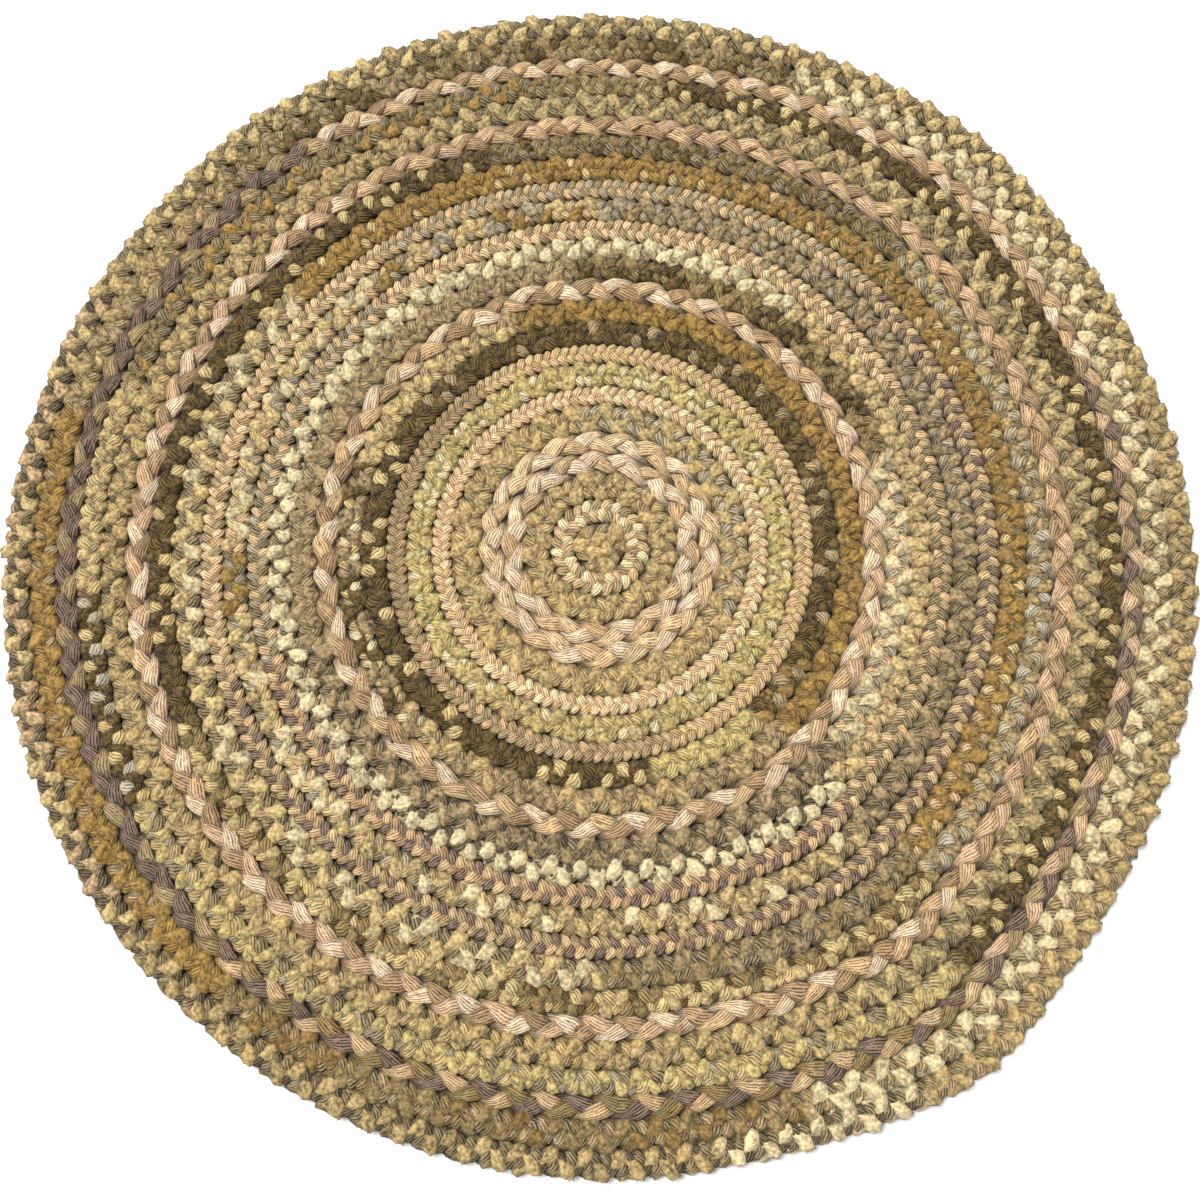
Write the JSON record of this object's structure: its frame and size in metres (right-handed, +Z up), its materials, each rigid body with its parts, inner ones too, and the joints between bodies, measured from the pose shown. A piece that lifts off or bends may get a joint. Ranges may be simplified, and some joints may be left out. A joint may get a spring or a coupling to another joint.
{
  "type": "braided rug",
  "caption": "Round flat rug of plaited wool and chenille braids, each closed into a ring and laced round the one before, with a scalloped edge",
  "frame": {"origin": "on the surface the rug lies on, under the middle of its box", "axes": "+Z up out of the face, +X to the right and +Y away in the picture's view; metres"},
  "size_m": [0.9138, 0.909, 0.0108],
  "materials": {
    "yarn_01_centre": "olive: soft cut-pile chenille yarn, matt",
    "yarn_02": "tan: fine tight wool yarn, matt",
    "yarn_03": "olive: soft cut-pile chenille yarn, matt",
    "yarn_04": "pink: plaited wool yarn, matt",
    "yarn_05": "tan: plaited wool yarn, matt",
    "yarn_06": "olive: soft cut-pile chenille yarn, matt",
    "yarn_07": "peach: fine tight wool yarn, matt",
    "yarn_08": "lime: soft cut-pile chenille yarn, matt",
    "yarn_09": "tan: fine tight wool yarn, matt",
    "yarn_10": "bark: soft cut-pile chenille yarn, matt",
    "yarn_11": "gold: soft cut-pile chenille yarn, matt",
    "yarn_12": "pink: plaited wool yarn, matt",
    "yarn_13": "brown: soft cut-pile chenille yarn, matt",
    "yarn_14": "straw: soft cut-pile chenille yarn, matt",
    "yarn_15": "peach: fine tight wool yarn, matt",
    "yarn_16": "cream: soft cut-pile chenille yarn, matt",
    "yarn_17": "tan: fine tight wool yarn, matt",
    "yarn_18": "gold: soft cut-pile chenille yarn, matt",
    "yarn_19": "taupe: soft cut-pile chenille yarn, matt",
    "yarn_20": "peach: plaited wool yarn, matt",
    "yarn_21": "green: soft cut-pile chenille yarn, matt",
    "yarn_22": "bark: soft cut-pile chenille yarn, matt",
    "yarn_23": "pink: plaited wool yarn, matt",
    "yarn_24": "cream: soft cut-pile chenille yarn, matt",
    "yarn_25_rim": "straw: soft cut-pile chenille yarn, matt"
  },
  "bodies": {
    "root": {"braid_01_centre": "yarn_01_centre", "braid_02": "yarn_02", "braid_03": "yarn_03", "braid_04": "yarn_04", "braid_05": "yarn_05", "braid_06": "yarn_06", "braid_07": "yarn_07", "braid_08": "yarn_08", "braid_09": "yarn_09", "braid_10": "yarn_10", "braid_11": "yarn_11", "braid_12": "yarn_12", "braid_13": "yarn_13", "braid_14": "yarn_14", "braid_15": "yarn_15", "braid_16": "yarn_16", "braid_17": "yarn_17", "braid_18": "yarn_18", "braid_19": "yarn_19", "braid_20": "yarn_20", "braid_21": "yarn_21", "braid_22": "yarn_22", "braid_23": "yarn_23", "braid_24": "yarn_24", "braid_25_rim": "yarn_25_rim"}
  },
  "joints": []
}
